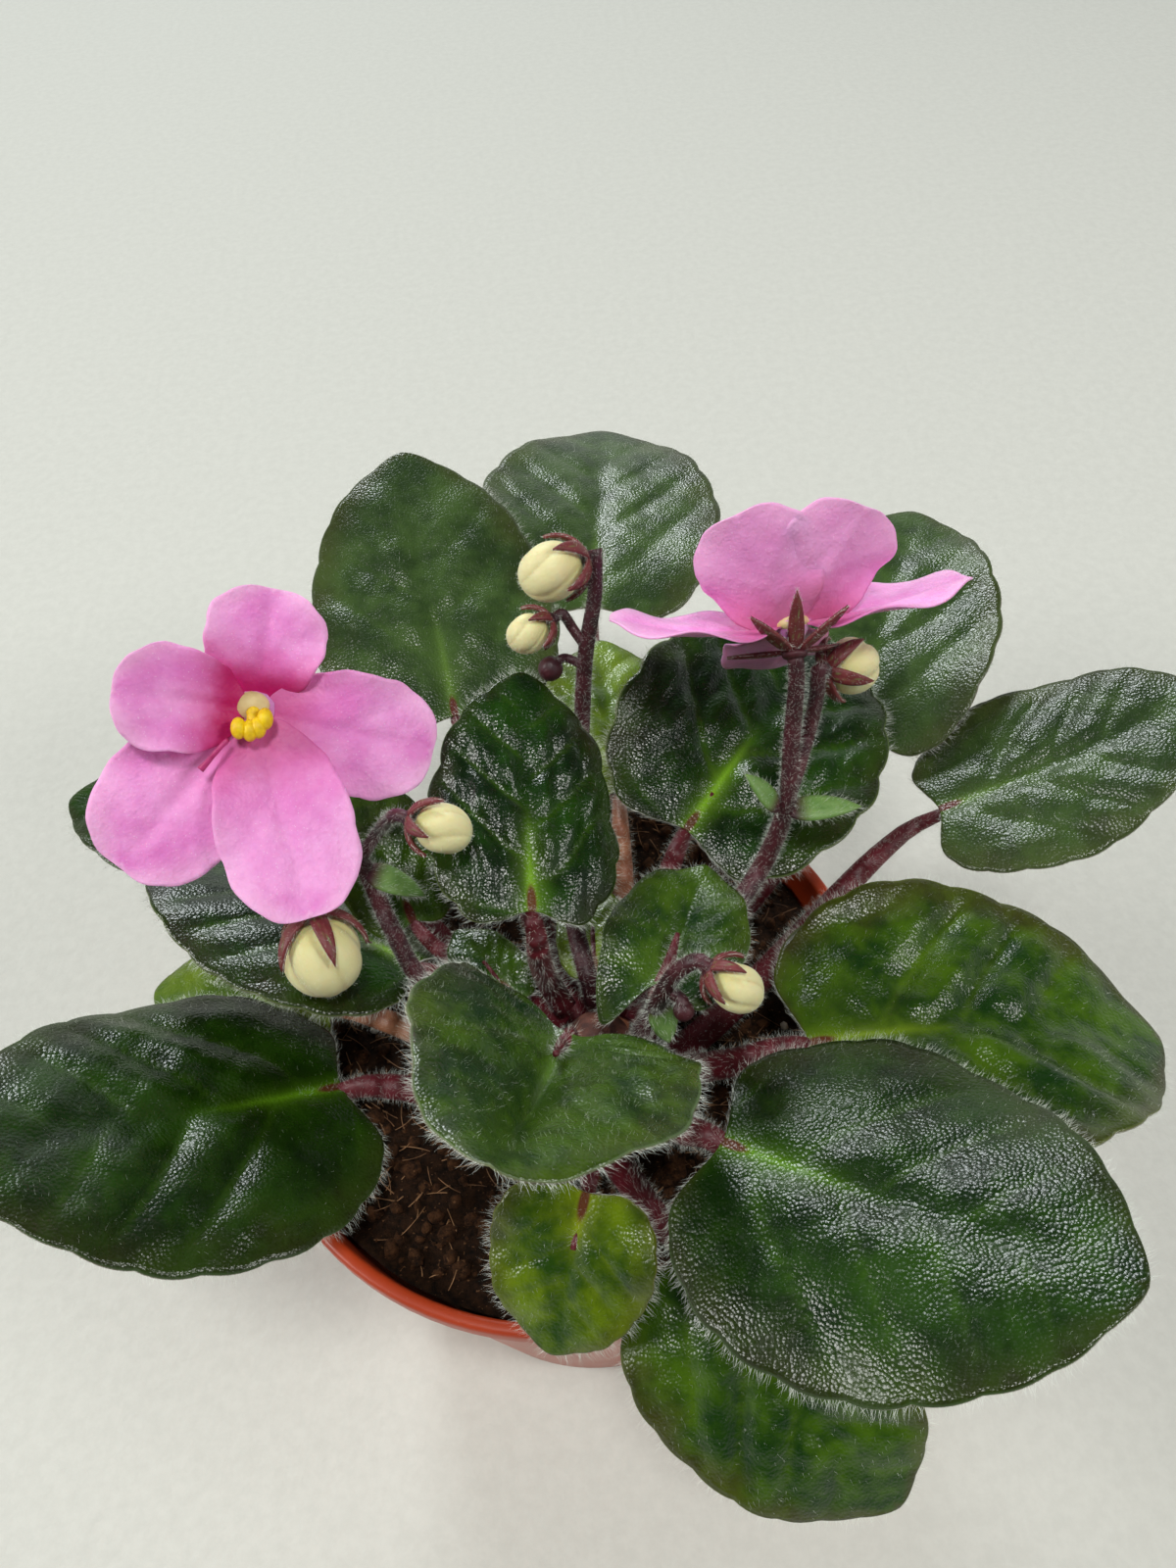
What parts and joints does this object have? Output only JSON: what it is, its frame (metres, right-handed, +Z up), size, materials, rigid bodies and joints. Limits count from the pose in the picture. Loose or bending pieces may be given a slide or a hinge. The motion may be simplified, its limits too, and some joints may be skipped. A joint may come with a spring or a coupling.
{
  "type": "potted african violet",
  "caption": "Potted flowering plant: a rosette of hairy heart-shaped leaves with open flowers and buds on stalks, rooted in soil in a small tapered plastic pot.",
  "frame": {"origin": "centre of the pot's flat underside, on the surface that the pot stands on", "axes": "+Z up out of the pot; -Y towards the front of the plant, where the picture was taken from; +X to the right seen from the front"},
  "size_m": [0.1707, 0.187, 0.1386],
  "materials": {
    "pot_plastic": "satin terracotta-coloured plastic",
    "soil": null,
    "crown": "short brown-red hairy stem",
    "leaf": "dark green, pebbled, hairy and half glossy",
    "pale_leaf": "yellow-green, pebbled and hairy",
    "leaf_stalk": "fleshy maroon stalk with white hairs",
    "flower_stalk": "dark red-brown stalk with white hairs",
    "bud": "cream closed bud with fine hairs",
    "petal": "pink petal with a fine sparkle",
    "anther": "bright yellow pollen sacs",
    "pistil": "magenta style"
  },
  "bodies": {
    "root": {"bud_behind": "bud", "bud_curled": "bud", "bud_hanging": "bud", "bud_side": "bud", "bud_tall": "bud", "bud_tall_small": "bud", "crown": "crown", "flower_left_petals": "petal", "flower_left_pistil": "pistil", "flower_left_stamens": "anther", "flower_right_petals": "petal", "flower_right_pistil": "pistil", "flower_right_stamens": "anther", "flower_stalk_back": "flower_stalk", "flower_stalk_front": "flower_stalk", "flower_stalk_left": "flower_stalk", "flower_stalk_right": "flower_stalk", "leaf_back_blade": "leaf", "leaf_back_left_blade": "leaf", "leaf_back_left_stalk": "leaf_stalk", "leaf_back_right_blade": "leaf", "leaf_back_right_stalk": "leaf_stalk", "leaf_back_stalk": "leaf_stalk", "leaf_back_under_blade": "pale_leaf", "leaf_back_under_stalk": "leaf_stalk", "leaf_centre_back_blade": "leaf", "leaf_centre_back_stalk": "leaf_stalk", "leaf_front_old_blade": "pale_leaf", "leaf_front_old_stalk": "leaf_stalk", "leaf_front_right_low_blade": "leaf", "leaf_front_right_low_stalk": "leaf_stalk", "leaf_front_young_blade": "leaf", "leaf_front_young_stalk": "leaf_stalk", "leaf_left_back_blade": "leaf", "leaf_left_back_stalk": "leaf_stalk", "leaf_left_front_blade": "leaf", "leaf_left_front_stalk": "leaf_stalk", "leaf_left_inner_blade": "leaf", "leaf_left_inner_stalk": "leaf_stalk", "leaf_left_old_blade": "pale_leaf", "leaf_left_old_stalk": "leaf_stalk", "leaf_right_back_blade": "leaf", "leaf_right_back_stalk": "leaf_stalk", "leaf_right_back_upper_blade": "leaf", "leaf_right_back_upper_stalk": "leaf_stalk", "leaf_right_front_blade": "leaf", "leaf_right_front_stalk": "leaf_stalk", "leaf_right_upper_blade": "leaf", "leaf_right_upper_stalk": "leaf_stalk", "leaf_young_back_blade": "pale_leaf", "leaf_young_back_stalk": "leaf_stalk", "leaf_young_left_back_blade": "leaf", "leaf_young_left_back_stalk": "leaf_stalk", "leaf_young_left_blade": "leaf", "leaf_young_left_stalk": "leaf_stalk", "leaf_young_right_blade": "leaf", "leaf_young_right_stalk": "leaf_stalk", "pot": "pot_plastic", "soil": "soil"}
  },
  "joints": []
}
